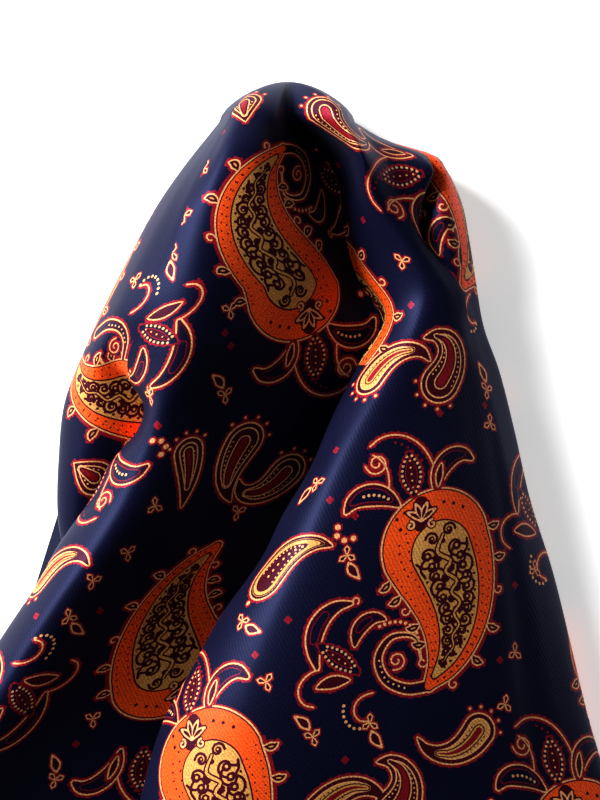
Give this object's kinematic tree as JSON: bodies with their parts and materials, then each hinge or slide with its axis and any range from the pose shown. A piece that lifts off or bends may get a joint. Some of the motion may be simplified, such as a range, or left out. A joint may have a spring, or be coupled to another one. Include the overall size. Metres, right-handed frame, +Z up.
{
  "type": "pocket square",
  "caption": "Silk pocket square pinched at its middle and laid flat as a puff, with a rounded crown, deep soft folds and gathered rolled edges.",
  "frame": {"origin": "centre of the part's bounding box, at the surface that the cloth lies on", "axes": "+Y from the gathered edges towards the rounded crown, +Z up towards the viewer, +X to the viewer's right"},
  "size_m": [0.1608, 0.1772, 0.0319],
  "materials": {
    "printed_silk": "navy silk twill with a printed paisley in orange, tan and burgundy, soft satin sheen",
    "hem_silk": "the same navy silk, rolled over itself and hand sewn along the edge"
  },
  "bodies": {
    "root": {"outer_cloth": "printed_silk", "folded_layers": "printed_silk", "rolled_hem": "hem_silk"}
  },
  "joints": []
}
